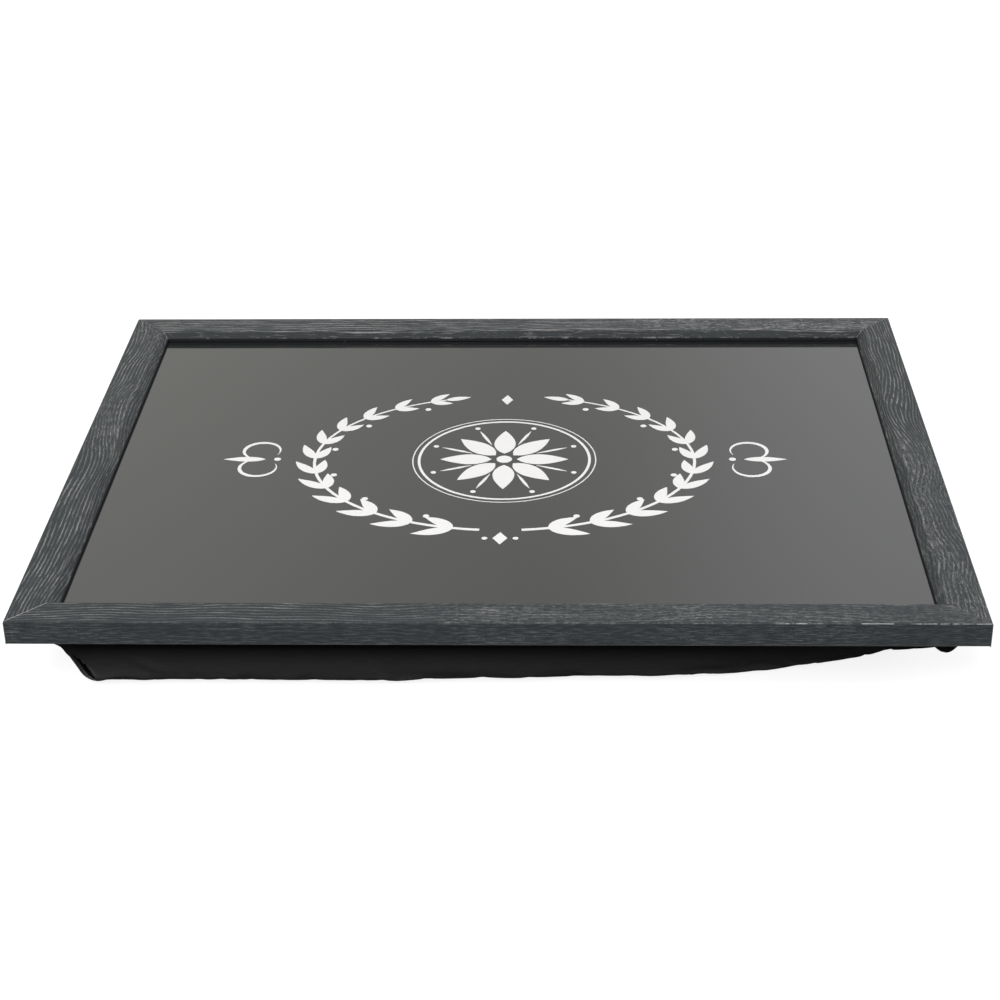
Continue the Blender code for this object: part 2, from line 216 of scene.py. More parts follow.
# What differs from rail to rail: the lines' sway, a fleck's length, where long lines begin and are full, how
# far it is lined elsewhere, how light it is, how much painted shade darkens its slope, and how strong its
# rubs are
RAILS = {
    "front": dict(sway=7.0, fleck=0.0062, lined=(-0.02, -0.12), rest=0.0, tone=0.75, slope=0.88, rubs=0.28),
    "right": dict(sway=16.1, fleck=0.0085, lined=(-0.02, 0.06), rest=0.10, tone=0.85, slope=0.86, rubs=0.28),
    "back": dict(sway=7.0, fleck=0.0070, lined=(0.12, -0.06), rest=0.05, tone=1.05, slope=0.25, rubs=0.75),
    "left": dict(sway=10.5, fleck=0.0085, lined=(0.01, -0.07), rest=0.22, tone=0.90, slope=0.88, rubs=0.28),
}
LINED_SHARE = 0.6

# Its noises: cells a metre along the rail and across its faces, shift along, detail and roughness
GRAIN_NOISES = {
    "patch": (13, 45, 0, 1, 0.5),
    "sway": (13, 24, 5, 1, 0.5),
    "shiver": (240, 520, 0, 2, 0.6),
    "breaks": (55, 700, 0, 3, 0.6),
    "bend": (130, 260, 9, 2, 0.5),
    "grit": (700, 2200, 0, 3, 0.7),
    "streaks": (150, 1500, 4, 3, 0.5),
    "shade": (22, 110, 3, 3, 0.5),
    "stretches": (34, 0, 0, 2, 0.5),
    "dashes": (210, 0, 0, 3, 0.7),
    "short_rubs": (60, 700, 7, 4, 0.65),
    "long_rubs": (22, 700, 7, 4, 0.65),
    "flecks": (95, 850, 2, 4, 0.7),
    "nicks": (75, 0, 0, 4, 0.7),
}

# How much the net and the lines count in the relief, and the relief on upright faces
NET_SHARE = 0.72
LOOSE_LINE_SHARE = 0.48
UPRIGHT_RELIEF = 0.30

# The tone: plain, by the relief, by the grit, and on upright faces, which are darker as painted shade
PLAIN_TONE = 0.18
RELIEF_TONE = 0.62
GRIT_TONE = 0.75
UPRIGHT_SHADE = 0.80

# The outer arris is rubbed pale down to this depth. On the front rail the wear grows between two places along
# X, and the other rails have a share of it.
ARRIS_DEPTH = (0.000475, 0.00053)
ARRIS_FADE_IN = (0.06, 0.12)
ARRIS_WEAR = 0.22

# Long stretches of the front rail's arris that are rubbed through, from and to along X
WORN_STRETCHES = ((0.1620, 0.1765), (0.2125, 0.2195))

# Rubs near the slope's lower end: how deep, and how far round that
RUB_DEPTH = RAIL_FLAT + 0.0064
RUB_REACH = (0.0002, 0.0011)


class RailFinish(Finish):
    """Charcoal oak-grain emboss: pale lines run along the rail, and break up into a net round dark flecks."""

    def __init__(self, side, seed):
        super().__init__(f"oak_emboss_{side}", roughness=0.5, specular=0.25)
        self.side = side
        self.looks = RAILS[side]
        self.noises = {}
        x, y, self.z = self.xyz(self.object_place)
        lengthwise = side in ("front", "back")
        self.along, across, half = (x, y, TRAY_HALF.y) if lengthwise else (y, x, TRAY_HALF.x)
        inward = 1 if side in ("front", "left") else -1
        self.inset = self.math("MULTIPLY_ADD", across, inward, half)
        self.drop = self.minus(FRAME_TOP, self.z)
        self.depth = self.plus(self.inset, self.drop)
        self.shifted = self.plus(self.along, seed)
        self.solid = self.vector(self.shifted, self.depth, 0.0)
        self.above_panel = self.minus(self.z, PANEL_TOP)
        self.facing_up = self.xyz(self.add("ShaderNodeNewGeometry").outputs["Normal"])[2]
        self.top_share = self.fit(self.facing_up, 0.3, 0.8)
        bent = self.math("MULTIPLY_ADD", self.grain("bend"), FLECK_BEND, self.depth)
        self.bent_depth = self.math("MULTIPLY_ADD", self.grain("sway"), FLECK_SWAY, bent)

        tone = self.tone()
        colour = self.colours(tone, (
            (0.02, grey(22, 4)),
            (0.25, grey(44, 5)),
            (0.50, grey(76, 2)),
            (0.85, grey(134)),
        ))
        for share, paint in self.marks():
            colour = self.blend(share, colour, paint)
        self.set(Base_Color=colour)
        self.set(Roughness=self.fit(tone, 0.1, 0.8, 0.60, 0.44, smooth=False))
        self.set(Normal=self.bump(tone, EMBOSS_DEPTH))

    def grain(self, name, *spread):
        """One of the emboss's noises, made when it is first asked for, and spread over a range."""
        if name not in self.noises:
            along, across, shift, detail, roughness = GRAIN_NOISES[name]
            place = self.stretched(self.solid, (along, across, 1), (shift, 0, 0))
            self.noises[name] = self.noise(place, detail=detail, roughness=roughness)
        return self.fit(self.noises[name], *spread) if spread else self.noises[name]

    def lined(self):
        """How far a place shows long lines, from 0 to 1."""
        share = self.fit(self.along, *self.looks["lined"])
        share = self.math("MULTIPLY_ADD", share, LINED_SHARE, self.looks["rest"])
        return self.fit(self.math("MULTIPLY_ADD", self.grain("patch"), 0.9, share), 0.40, 0.85)

    def lines(self, lined):
        """Long pale lines, a wave across the rail that sways, shivers and breaks off."""
        phase = self.math("DIVIDE", self.depth, GRAIN_PITCH)
        phase = self.math("MULTIPLY_ADD", self.grain("sway"), self.looks["sway"], phase)
        phase = self.math("MULTIPLY_ADD", self.grain("shiver"), self.mix(lined, *GRAIN_SHIVER), phase)
        wave = self.fit(self.math("COSINE", self.times(phase, 2 * math.pi)), -0.1, 0.95)
        near_arris = self.fit(self.depth, 0.0008, 0.0020, 0.45, 1.0)
        return self.times(wave, self.grain("breaks", 0.34, 0.60, 0.15, 1.0), near_arris)

    def net(self):
        """A pale net round dark flecks."""
        place = self.vector(self.shifted, self.bent_depth, 0.0)
        place = self.stretched(place, (1 / self.looks["fleck"], 1 / FLECK_THICKNESS, 1))
        edges = self.fit(self.distance(self.noise(place, detail=1.5), 0.5), 0.0, 0.085, 1.0, 0.0)
        return self.times(edges, self.grain("grit", 0.30, 0.52, 0.4, 1.0))

    def relief(self):
        """The pale part of the emboss, which is finer streaks on the upright faces."""
        lined = self.lined()
        lines = self.lines(lined)
        loose = self.math("MULTIPLY_ADD", self.net(), NET_SHARE, self.times(lines, LOOSE_LINE_SHARE))
        relief = self.mix(lined, loose, lines)
        streaks = self.grain("streaks", 0.38, 0.68, 0.0, 0.75)
        return self.mix(self.top_share, self.math("MULTIPLY_ADD", relief, UPRIGHT_RELIEF, streaks), relief)

    def tone(self):
        """How light a place is, before rubs and marks, with painted shade on upright faces, the slope and the
        lip's wall.
        """
        grit = self.minus(self.grain("grit"), 0.5)
        tone = self.math("MULTIPLY_ADD", grit, GRIT_TONE, self.times(self.relief(), RELIEF_TONE))
        shade = self.grain("shade", 0.3, 0.7, 0.80, 1.18)
        # Upright faces are darker than the top: painted shade.
        upright = self.mix(self.top_share, UPRIGHT_SHADE, 1.0)
        # The slope is darker by each rail's factor, most of all on the back rail: painted shade.
        slope = self.fit(self.inset, RAIL_FLAT, RAIL_FLAT + 0.0012, 1.0, self.looks["slope"])
        # The lip's wall is darker, and darkest next to the panel: painted shade in the crevice.
        on_wall = self.fit(self.inset, LIP_END - 0.0003, LIP_END - 0.0001)
        wall = self.mix(on_wall, 1.0, self.fit(self.above_panel, 0.0006, 0.0016, 0.1, 0.62))
        return self.times(self.plus(tone, PLAIN_TONE), shade, upright, self.looks["tone"], slope, wall)

    def marks(self):
        """Rubs, flecks and other marks over the emboss, each as a share and a colour, in their order."""
        specks = self.fit(self.cells(self.stretched(self.solid, (330, 800, 1))), 0.05, 0.14, 0.6, 0.0)
        foot = self.fit(self.minus(self.z, FRAME_BASE), 0.0002, 0.0008, 0.35, 0.0)
        under = self.fit(self.facing_up, -0.9, -0.6, 1.0, 0.0)
        return (
            (self.rubs(), grey(152, -3)),
            (self.flecks(), grey(140, -3)),
            (self.nicks(), grey(150, -3)),
            (self.times(specks, self.grain("shade", 0.50, 0.62)), grey(150)),
            (self.worn_arris(), grey(218, -2)),
            (self.times(foot, self.grain("stretches", 0.45, 0.60)), grey(120)),
            (under, grey(34, 1)),
        )

    def rubs(self):
        """Rubbed streaks near the lower end of the slope."""
        low = self.fit(self.distance(self.bent_depth, RUB_DEPTH), *RUB_REACH, 1.0, 0.0)
        run = "long_rubs" if self.side == "back" else "short_rubs"
        return self.times(low, self.top_share, self.grain(run, 0.47, 0.60, 0.0, self.looks["rubs"]))

    def flecks(self):
        """Pale flecks on the slope, and on the wall down to a little above the panel."""
        beyond_flat = self.fit(self.inset, RAIL_FLAT, RAIL_FLAT + 0.001)
        clear = self.fit(self.above_panel, 0.0016, 0.0021)
        return self.times(self.grain("flecks", 0.57, 0.67, 0.0, 0.45), beyond_flat, clear)

    def nicks(self):
        """Nicks in the edge between the slope and the wall."""
        edge = self.fit(self.distance(self.drop, LIP_DROP), 0.0002, 0.0005, 1.0, 0.0)
        nicks = self.math("MULTIPLY_ADD", self.grain("nicks"), 0.7, self.times(self.grain("shade"), 0.3))
        nicks = self.fit(nicks, 0.50, 0.60, 0.0, 0.5)
        return self.times(edge, self.fit(self.inset, RAIL_FLAT, LIP_END), nicks)

    def worn_arris(self):
        """The outer arris is rubbed through in dashes, and on the front rail also in two long stretches."""
        worn = self.times(self.grain("stretches", 0.46, 0.58), self.grain("dashes", 0.44, 0.54))
        if self.side == "front":
            worn = self.times(worn, self.fit(self.along, *ARRIS_FADE_IN, 0.15, 0.9))
            for low, high in WORN_STRETCHES:
                half = (high - low) / 2
                off = self.distance(self.along, (low + high) / 2)
                worn = self.math("MAXIMUM", worn, self.fit(off, half - 0.0004, half, 1.0, 0.0))
        else:
            worn = self.times(worn, ARRIS_WEAR)
        arris = self.fit(self.depth, *ARRIS_DEPTH, 1.0, 0.0)
        return self.times(worn, self.grain("dashes", 0.36, 0.50, 0.35, 1.0), arris)


def mitre_finish(name, pale, pale_slope):
    """Filler in a mitre: pale glue by a share on the flat and one on the slope, and dark elsewhere."""
    filler = Finish(name, roughness=0.6, specular=0.4)
    crumbs = filler.noise(filler.object_place, 700, detail=3)
    dots = filler.noise(filler.object_place, 260, detail=2)
    dark = filler.blend(filler.fit(crumbs, 0.4, 0.6), grey(46, 3), grey(80, 1))
    light = filler.blend(filler.fit(dots, 0.32, 0.48), grey(150, 0), grey(190, -2))
    height = filler.xyz(filler.object_place)[2]
    share = filler.fit(height, FRAME_TOP - 0.0012, FRAME_TOP - 0.0003, pale_slope, pale)
    filler.set(Base_Color=filler.blend(share, dark, light))
    filler.set(Normal=filler.bump(crumbs, 0.0001))
    return filler.material


# The panel's gloss: its reflection, and its roughness where it is clean and where it is rubbed
PANEL_IOR = 1.7
PANEL_ROUGHNESS = (0.05, 0.085)


def panel_finish():
    """Gloss decor sheet: near black, with faint dust and hairline rubs."""
    gloss = Finish("gloss_panel", roughness=0.08, specular=0.5)
    haze = gloss.noise(gloss.stretched(gloss.object_place, (9, 14, 9)), detail=3)
    dust = gloss.cells(gloss.stretched(gloss.object_place, (420, 420, 420)))
    colour = gloss.blend(haze, grey(25, 1), grey(29, 1))
    colour = gloss.blend(gloss.fit(dust, 0.02, 0.05, 0.5, 0.0), colour, grey(120))
    gloss.set(Base_Color=colour, IOR=PANEL_IOR)
    rub = gloss.noise(gloss.stretched(gloss.object_place, (60, 700, 60)), detail=4)
    gloss.set(Roughness=gloss.fit(rub, 0.3, 0.75, *PANEL_ROUGHNESS))
    return gloss.material


def plain_finish(name, scales, detail, stops, depth, roughness, specular=0.5, noise_roughness=0.5):
    """A material whose colour and height follow one noise. The stops are its colours by the noise's value."""
    plain = Finish(name, roughness, specular)
    place = plain.stretched(plain.object_place, scales)
    grain = plain.noise(place, detail=detail, roughness=noise_roughness)
    plain.set(Base_Color=plain.colours(grain, stops), Normal=plain.bump(grain, depth))
    return plain.material


def print_finish():
    stops = ((0, grey(226, -1)), (1, grey(238, -1)))
    return plain_finish("white_print", (900, 900, 900), 3, stops, 0.00001, roughness=0.22)


def fibre_finish():
    stops = ((0.3, (0.19, 0.12, 0.065)), (0.7, (0.33, 0.23, 0.14)))
    return plain_finish("fibreboard", (900, 260, 900), 6, stops, 0.0001, 0.85, 0.3, noise_roughness=0.7)


def thread_finish():
    stops = ((0, grey(22)), (1, grey(48)))
    return plain_finish("black_thread", (2500, 2500, 900), 2, stops, 0.00005, roughness=0.7, specular=0.4)


def steel_finish():
    steel = Finish("bright_steel", roughness=0.35)
    steel.set(Metallic=1.0)
    streaks = steel.noise(steel.stretched(steel.object_place, (1200, 1200, 5000)), detail=3)
    steel.set(Base_Color=steel.colours(streaks, ((0.3, (0.40, 0.41, 0.42)), (0.7, (0.60, 0.61, 0.62)))))
    steel.set(Roughness=steel.fit(streaks, 0.3, 0.7, 0.28, 0.46))
    return steel.material


# Greys above the cloth's tone: in hollows and on threads high up, where it is darker as painted shade under
# the frame, and low down, where it is paler, partly rubbed cloth and partly painted light; at the foot and
# for lint. The paler low tone and the foot fade out over these heights.
CLOTH_SHADED_HIGH = (-7, 6)
CLOTH_LIT_AND_RUBBED = (26, 42)
SHADE_TO_LIGHT_HEIGHT = (0.010, 0.035)
CLOTH_FOOT = 95
FOOT_HEIGHT = (0.0005, 0.012)
CLOTH_LINT = 60

# The pleat's painted light and shade on the cloth: names of their attributes, how much paler the rim is as a
# painted highlight, and the slit's grey as painted shade
RIM_HIGHLIGHT_MARK = "pleat_rim_highlight"
SLIT_SHADE_MARK = "pleat_slit_shade"
RIM_HIGHLIGHT_PALER = 62
RIM_HIGHLIGHT_SHARE = 0.5
SLIT_SHADE_GREY = 6
SLIT_SHADE_RANGE = (0.02, 0.18)


def cloth_finish(name, tone, thread, depth):
    """A plain weave that follows the cloth by its UV map, which is in metres, with lint on it."""
    cloth = Finish(name, roughness=0.95, specular=0.0)
    flat = cloth.add("ShaderNodeUVMap").outputs[0]
    u, v, _ = cloth.xyz(flat)
    wobble = cloth.noise(cloth.object_place, 180, detail=2)
    turn = 2 * math.pi / thread
    u = cloth.math("MULTIPLY_ADD", wobble, thread * 0.9, u)
    v = cloth.math("MULTIPLY_ADD", wobble, thread * 0.7, v)
    warp = cloth.math("SINE", cloth.times(u, turn))
    weft = cloth.math("SINE", cloth.times(v, turn))
    weave = cloth.math("MULTIPLY_ADD", cloth.times(warp, weft), 0.5, 0.5)
    slubs = cloth.noise(cloth.stretched(flat, (120, 900, 1)), detail=3)
    yarn = cloth.math("MULTIPLY_ADD", weave, 0.45, cloth.times(slubs, 0.55))
    shaded_high, rubbed = (
        cloth.colours(yarn, ((0.15, grey(tone + low)), (0.85, grey(tone + high))))
        for low, high in (CLOTH_SHADED_HIGH, CLOTH_LIT_AND_RUBBED)
    )
    height = cloth.xyz(cloth.object_place)[2]
    # High on the side the cloth is darker, painted shade under the frame; low down it is paler, partly rubbed
    # and partly painted light.
    colour = cloth.blend(cloth.fit(height, *SHADE_TO_LIGHT_HEIGHT, 1.0, 0.0), shaded_high, rubbed)
    colour = cloth.blend(cloth.fit(height, *FOOT_HEIGHT, 0.5, 0.0), colour, grey(tone + CLOTH_FOOT))
    lint = cloth.fit(cloth.cells(cloth.object_place, 170), 0.035, 0.09, 0.55, 0.0)
    patch = cloth.fit(cloth.noise(cloth.object_place, 40, detail=2), 0.5, 0.62)
    colour = cloth.blend(cloth.times(lint, patch), colour, grey(tone + CLOTH_LINT))
    # The pleat's rim is paler: a painted highlight along the fold's edge.
    rim = cloth.add("ShaderNodeAttribute", attribute_name=RIM_HIGHLIGHT_MARK).outputs["Fac"]
    colour = cloth.blend(cloth.times(rim, RIM_HIGHLIGHT_SHARE), colour, grey(tone + RIM_HIGHLIGHT_PALER))
    # The pleat's slit is painted near black: painted shade inside the fold.
    slit = cloth.add("ShaderNodeAttribute", attribute_name=SLIT_SHADE_MARK).outputs["Fac"]
    colour = cloth.blend(cloth.fit(slit, *SLIT_SHADE_RANGE, 0.0, 0.95), colour, grey(SLIT_SHADE_GREY))
    cloth.set(Base_Color=colour, Sheen_Weight=0.012, Sheen_Roughness=0.5)
    rough_cloth = cloth.bump(cloth.noise(cloth.object_place, 260, detail=3), 0.00025, 0.5)
    cloth.set(Normal=cloth.bump(weave, depth, 0.8, under=rough_cloth))
    return cloth.material


def smooth_step(value, low, high):
    share = np.clip((value - low) / (high - low), 0, 1)
    return share * share * (3 - 2 * share)


def add_object(name, data):
    thing = bpy.data.objects.new(name, data)
    bpy.context.scene.collection.objects.link(thing)
    return thing


def new_piece(name, points, faces, material):
    """A mesh piece that rides on the tray."""
    mesh = bpy.data.meshes.new(name)
    mesh.from_pydata([tuple(point) for point in points], [], [tuple(face) for face in faces])
    mesh.validate()
    mesh.shade_smooth()
    mesh.materials.append(material)
    piece = add_object(name, mesh)
    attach(piece, "root")
    return piece


# Cushion: a flat grid for the bottom, and rings of the same number of points up the side to the flange
COLUMNS = 184
ROWS = 144
CORNER_GRADING = 0.74
WALL_STEPS = 32
FLANGE_STEPS = 4
EDGE_CORNER = 0.0092
SEAM_CORNER = 0.0035
FLANGE_CORNER = 0.006
HEM_RUN = 0.004

# Stations of the bag's wall: share of the way up, inset, corner radius and share of the slack
WALL = (
    (0.000, EDGE_INSET + 0.0090, EDGE_CORNER, 1.0),
    (0.000, EDGE_INSET + 0.0030, EDGE_CORNER, 1.0),
    (0.040, EDGE_INSET - 0.0006, EDGE_CORNER, 1.0),
    (0.250, EDGE_INSET - 0.0022, EDGE_CORNER, 0.95),
    (0.585, SIDE_INSET - 0.0004, EDGE_CORNER, 0.60),
    (0.900, SEAM_INSET + 0.0004, SEAM_CORNER, 0.12),
    (1.000, SEAM_INSET, SEAM_CORNER, 0.0),
)


def graded(count):
    """Places from -1 to 1 along a side, closer together near its ends."""
    even = np.linspace(-1, 1, count + 1)
    return even + CORNER_GRADING * np.sin(math.pi * even) / math.pi


def half_side(half, radius, shares):
    """Way along and way in of the points of a side: straight, then round to the middle of the corner."""
    straight = half - radius
    reach = np.abs(shares) * (straight + radius * math.pi / 4)
    turn = np.clip((reach - straight) / radius, 0, math.pi / 4)
    along = np.minimum(reach, straight) + radius * np.sin(turn)
    return along * np.sign(shares), radius * (1 - np.cos(turn))


def outline(inset, radius):
    """The four sides of a rounded outline, each from corner to corner, going round from the front left."""
    half_x, half_y = TRAY_HALF.x - inset, TRAY_HALF.y - inset
    run_x, dip_x = half_side(half_x, radius, graded(COLUMNS))
    run_y, dip_y = half_side(half_y, radius, graded(ROWS))
    front = np.stack([run_x, dip_x - half_y], 1)
    right = np.stack([half_x - dip_y, run_y], 1)
    return front, right, -front, -right


def loop(inset, radius):
    """The outline as one closed row of points, with each corner once."""
    return np.concatenate([side[:-1] for side in outline(inset, radius)])


def filled(inset, radius):
    """A grid of points that fills the outline."""
    front, right, back, left = outline(inset, radius)
    back, left = back[::-1], left[::-1]
    s = (graded(COLUMNS)[None, :, None] + 1) / 2
    t = (graded(ROWS)[:, None, None] + 1) / 2
    ruled_up = (1 - t) * front[None] + t * back[None]
    ruled_across = (1 - s) * left[:, None] + s * right[:, None]
    low_row = (1 - s) * front[0] + s * front[-1]
    high_row = (1 - s) * back[0] + s * back[-1]
    return ruled_up + ruled_across - (1 - t) * low_row - t * high_row


def grid_faces(columns, rows):
    """Faces and border of a grid whose points are numbered row by row."""
    index = np.arange((rows + 1) * (columns + 1)).reshape(rows + 1, columns + 1)
    faces = np.stack([index[:-1, :-1], index[1:, :-1], index[1:, 1:], index[:-1, 1:]], -1).reshape(-1, 4)
    border = np.concatenate([index[0, :-1], index[:-1, -1], index[-1, :0:-1], index[:0:-1, 0]])
    return faces.tolist(), border


def band(inner, outer):
    """Faces between two closed rings of points."""
    return np.stack([inner, np.roll(inner, -1), np.roll(outer, -1), outer], -1).tolist()


def spline(stations, count):
    """Places on a smooth curve from the first station to the last, which passes near the others."""
    stations = np.array(stations, float)
    before, after = 2 * stations[0] - stations[1], 2 * stations[-1] - stations[-2]
    held = np.concatenate([[before], stations, [after]])
    reach = np.linspace(0, len(stations) - 1, count)
    first = np.minimum(reach.astype(int), len(stations) - 2)
    t = (reach - first)[:, None]
    weights = ((1 - t) ** 3, 3 * t**3 - 6 * t**2 + 4, 1 + 3 * t + 3 * t**2 - 3 * t**3, t**3)
    return sum(weight * held[first + step] for step, weight in enumerate(weights)) / 6


def slack_move(points, share):
    """The right front corner holds fewer beads, so its lower part is drawn back and in, by a share."""
    across = points[:, 0] / (TRAY_HALF.x - EDGE_INSET)
    towards = smooth_step(-points[:, 1] / (TRAY_HALF.y - EDGE_INSET), SLACK_START_Y_SHARE, 1) * share
    side = SLACK_DRAW_SIDE * smooth_step(across, *SLACK_SIDE_RANGE) * towards
    back = sum(way * smooth_step(across, start, end) for way, start, end in SLACK_STEPS) * towards
    return points + np.column_stack([-side, back])


def cushion_skin():
    """Points and faces of the bag's skin, and the numbers of the side's and the flange's first points."""
    rings = [(FLANGE_UNDER * ring[0], *ring[1:]) for ring in spline(WALL, WALL_STEPS + 1)]
    for part in np.linspace(0, 1, FLANGE_STEPS + 1)[1:]:
        inset = SEAM_INSET + (FLANGE_INSET - SEAM_INSET) * part
        rings.append((FLANGE_UNDER, inset, SEAM_CORNER + (FLANGE_CORNER - SEAM_CORNER) * part, 0.0))
    for inset in (FLANGE_INSET, FLANGE_INSET + HEM_RUN):
        rings.append((FLANGE_TOP, inset, FLANGE_CORNER, 0.0))
    _, inset, radius, slack = rings[0]
    bottom = slack_move(filled(inset, radius).reshape(-1, 2), slack)
    points = [np.column_stack([bottom, np.zeros(len(bottom))])]
    faces, inner = grid_faces(COLUMNS, ROWS)
    first, around = len(bottom), len(inner)
    for height, inset, radius, slack in rings[1:]:
        ring = slack_move(loop(inset, radius), slack)
        points.append(np.column_stack([ring, np.full(around, height)]))
        outer = first + around * (len(points) - 2) + np.arange(around)
        faces += band(inner, outer)
        inner = outer
    return np.concatenate(points), faces, first, first + around * (WALL_STEPS - 1)


def lay_out_cloth(cushion):
    """A UV map in metres, so that the weave keeps its scale: each face is laid out by the way it faces."""
    places = place_of(cushion.data)
    layer = cushion.data.uv_layers.new(name="cloth")
    for face in cushion.data.polygons:
        across = max(range(3), key=lambda axis: abs(face.normal[axis]))
        u_axis, v_axis = [axis for axis in range(3) if axis != across]
        for corner in face.loop_indices:
            place = places[cushion.data.loops[corner].vertex_index]
            layer.data[corner].uv = (place[u_axis], place[v_axis])


# Cloth simulation of the cushion's side
SIMULATION_STEPS = 16
BEAD_PRESSURE = 30.0
SPARE_CLOTH = 0.004
MOST_MOVE = 0.0035


def place_of(mesh):
    points = np.zeros(len(mesh.vertices) * 3, np.float32)
    mesh.vertices.foreach_get("co", points)
    return points.reshape(-1, 3).astype(float)


def settle(points, faces, first, last):
    """The beads press the bag's side outwards, and a little spare cloth makes soft wrinkles in it.

    The side is the points from first on. It is held where it meets the flat bottom and from last on, and no
    point moves further than MOST_MOVE.
    """
    start = points[first:]
    side_faces = [[corner - first for corner in face] for face in faces if min(face) >= first]
    mesh = bpy.data.meshes.new("bag_side")
    mesh.from_pydata(start.tolist(), [], side_faces)
    side = add_object("bag_side", mesh)
    around = 2 * (COLUMNS + ROWS)
    held = side.vertex_groups.new(name="held")
    held.add([*range(around), *range(last - first, len(start))], 1.0, "REPLACE")
    step = side.modifiers.new("cloth", "CLOTH")
    cloth = step.settings
    cloth.quality = 6
    cloth.mass = 0.15
    cloth.tension_stiffness = 22
    cloth.compression_stiffness = 18
    cloth.shear_stiffness = 8
    cloth.bending_stiffness = 0.35
    cloth.vertex_group_mass = "held"
    cloth.use_pressure = True
    cloth.uniform_pressure_force = BEAD_PRESSURE
    cloth.shrink_min = -SPARE_CLOTH
    cloth.shrink_max = -SPARE_CLOTH
    cloth.effector_weights.gravity = 0
    step.collision_settings.use_collision = False
    step.point_cache.frame_end = SIMULATION_STEPS
    scene = bpy.context.scene
    for number in range(1, SIMULATION_STEPS + 1):
        scene.frame_set(number)
    settled = place_of(side.evaluated_get(bpy.context.evaluated_depsgraph_get()).to_mesh())
    bpy.data.objects.remove(side, do_unlink=True)
    scene.frame_set(1)
    move = settled - start
    length = np.linalg.norm(move, axis=1, keepdims=True)
    capped = MOST_MOVE * np.tanh(length / MOST_MOVE)
    return np.concatenate([points[:first], start + move * capped / np.maximum(length, 1e-9)])


# The pleat at the left front corner: heights of its ends, way round from the corner at both, how far out the
# cloth is that it takes up, and its sizes
PLEAT_LOW = 0.0045
PLEAT_HIGH = 0.0182
PLEAT_SIDE = (0.0062, 0.0016)
PLEAT_OUT = 0.20
PLEAT_HALF_WIDTH = 0.0030
PLEAT_DEPTH = 0.0085

# Its slit is pushed in this way, mostly away from the front. Its rim stands out: height, and place and spread
# in half widths
PLEAT_INWARD = (0.25, 0.97, 0.0)
PLEAT_RIM = 0.0010
RIM_PLACE = 1.35
RIM_SPREAD = 0.4

# The slack cloth that hangs at the right front corner, under the flange: place, reach, drop and flatness
EAR = (Vector((0.2030, -0.1580)), Vector((0.0105, 0.0075)), 0.0092, 2)
EAR_TAIL = (Vector((0.1870, -0.1585)), Vector((0.0270, 0.0070)), 0.0054, 4)
EAR_HEIGHTS = (0.45, 0.92)

# Where the cloth stands out or is drawn in, at the left front corner and along the front: place, reach, move
CLOTH_BENDS = (
    ((-0.2040, -0.1530, 0.0225), (0.018, 0.018, 0.0125), (-0.0044, -0.0008, 0.0)),
    ((-0.1960, -0.1460, 0.0145), (0.022, 0.022, 0.009), (-0.0013, 0.0, 0.0)),
    ((-0.1730, -0.1450, 0.0020), (0.024, 0.020, 0.012), (0.0, -0.0016, 0.0)),
    ((-0.0200, -0.1450, 0.0020), (0.034, 0.020, 0.012), (0.0, 0.0018, 0.0)),
    ((0.0930, -0.1390, 0.0020), (0.024, 0.020, 0.012), (0.0, 0.0020, 0.0006)),
    ((0.1330, -0.1330, 0.0030), (0.020, 0.020, 0.012), (0.0, -0.0012, -0.0009)),
    ((0.1610, -0.1300, 0.0030), (0.014, 0.020, 0.012), (0.0, 0.0019, 0.0009)),
    ((0.1850, -0.1240, 0.0050), (0.015, 0.020, 0.012), (0.0, 0.0013, 0.0008)),
)

# A soft fold on the front: its ends in X and Z, half its width and its height
FOLD_ENDS = (Vector((-0.1715, 0.0255)), Vector((-0.1510, 0.0090)))
FOLD_HALF_WIDTH = 0.0042
FOLD_HEIGHT = 0.0013


def hump(distance, flatness=2):
    """1 in the middle, falling smoothly to 0 at a distance of 1."""
    return np.clip(1 - distance**flatness, 0, None) ** 2


def make_pleat(points):
    """The cloth is folded under at the left front corner, which leaves a dark slit with a rolled rim.

    Gives the moved points, and how far each lies in the slit and on the rim, from 0 to 1.
    """
    beyond = EDGE_INSET + EDGE_CORNER - np.array(TRAY_HALF) - points[:, :2]
    around = (beyond[:, 1] - beyond[:, 0]) / math.sqrt(2)
    out = -(points[:, 0] + points[:, 1]) / math.sqrt(2)
    height = points[:, 2]
    up = np.clip((height - PLEAT_LOW) / (PLEAT_HIGH - PLEAT_LOW), 0, 1)
    half = PLEAT_HALF_WIDTH * np.sin(math.pi * up**0.7) ** 0.7 + 1e-6
    away = (around - PLEAT_SIDE[0] - (PLEAT_SIDE[1] - PLEAT_SIDE[0]) * up) / half
    near = (out > PLEAT_OUT) & (up > 0) & (up < 1)
    slit = near * np.clip(1 - away * away, 0, None) ** 0.6
    rim = near * np.exp(-((away - RIM_PLACE) / RIM_SPREAD) ** 2) * np.sin(math.pi * up)
    inward = PLEAT_DEPTH * slit - PLEAT_RIM * rim
    return points + np.array(PLEAT_INWARD) * inward[:, None], slit, rim


def bend_cloth(points):
    """Moves the cloth round each of the places in CLOTH_BENDS, less towards the end of its reach."""
    moved = points.copy()
    for place, reach, move in np.array(CLOTH_BENDS):
        away = abs(points - place) / reach
        flat = np.hypot(away[:, 0], away[:, 1])
        share = hump(np.minimum(flat, 1)) * hump(np.minimum(away[:, 2], 1), 3)
        moved += move * share[:, None]
    return moved


